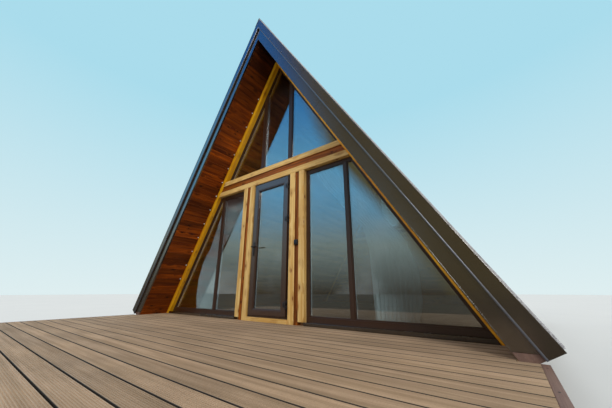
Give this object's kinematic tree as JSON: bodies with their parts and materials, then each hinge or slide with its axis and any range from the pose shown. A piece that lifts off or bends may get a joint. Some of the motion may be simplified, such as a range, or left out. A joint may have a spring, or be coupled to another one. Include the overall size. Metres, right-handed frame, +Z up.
{
  "type": "a-frame cabin",
  "caption": "Small timber A-frame cabin: steep roof slopes down to the floor platform, a fully glazed front gable with a door that swings outwards, and a boarded terrace.",
  "frame": {"origin": "on the ground, under the middle of the whole building with its terrace", "axes": "+X to the right seen from the terrace, +Y from the terrace to the rear gable, +Z up"},
  "size_m": [6.0306, 9.532, 5.624],
  "materials": {
    "concrete": "cast concrete, unpainted",
    "frame_timber": "planed softwood, untreated",
    "deck_boards": "grooved boards, weathered oil",
    "deck_trim": "dark stained board",
    "stained_boards": "brown stain, satin varnish",
    "lining_boards": "oiled softwood boards",
    "golden_timber": "golden varnish, satin",
    "pale_pine": "clear varnished pine, satin",
    "brown_strips": "brown stain, satin",
    "wall_boards": "brown stained boards",
    "shingles": "mineral granules on bitumen",
    "brown_metal": "dark brown coated sheet, semi-gloss",
    "window_brown": "dark brown, semi-gloss",
    "glass": "clear insulating glass",
    "black_metal": "black, satin",
    "hinge_metal": "dark brown, satin",
    "bell_plastic": "dark, matt",
    "white_metal": "white, satin",
    "curtain_cloth": "thin woven voile"
  },
  "bodies": {
    "cabin": {"barge_board_left": "brown_metal", "barge_board_right": "brown_metal", "bearers": "frame_timber", "curtain_left": "curtain_cloth", "curtain_right": "curtain_cloth", "curtain_tracks": "white_metal", "deck_boards": "deck_boards", "deck_joists": "frame_timber", "deck_trim": "deck_trim", "door_bell": "bell_plastic", "door_frame_crosspieces": "window_brown", "door_frame_jambs": "window_brown", "door_frame_stops": "window_brown", "eaves_trim": "stained_boards", "floor_platform": "frame_timber", "foundation_pads": "concrete", "gable_window_frames": "window_brown", "hinge_frame_wings": "hinge_metal", "lining_left": "lining_boards", "lining_right": "lining_boards", "post_planks": "pale_pine", "post_studs": "frame_timber", "rafters_left": "golden_timber", "rafters_right": "golden_timber", "rear_wall_middle": "wall_boards", "rear_wall_sides": "wall_boards", "rear_window_frame": "window_brown", "recessed_strips": "brown_strips", "ridge_cap": "brown_metal", "roof_panel_left": "frame_timber", "roof_panel_right": "frame_timber", "shingles_left": "shingles", "shingles_right": "shingles", "sill_beams": "frame_timber", "soffit_left": "stained_boards", "soffit_right": "stained_boards", "threshold": "pale_pine", "tie_beam_timbers": "pale_pine", "verge_flashing_left": "brown_metal", "verge_flashing_right": "brown_metal", "window_frames": "window_brown", "window_panes": "glass", "window_sills": "brown_metal"},
    "door": {"door_leaf": "window_brown", "door_pane": "glass", "door_handle": "black_metal", "hinge_leaf_wings": "hinge_metal"}
  },
  "joints": [
    {"name": "door_hinge", "type": "hinge", "parent": "cabin", "child": "door", "pos_m": [0.369, -1.776, 1.75], "axis": [0, 0, 1], "range_deg": [0, 110]}
  ]
}
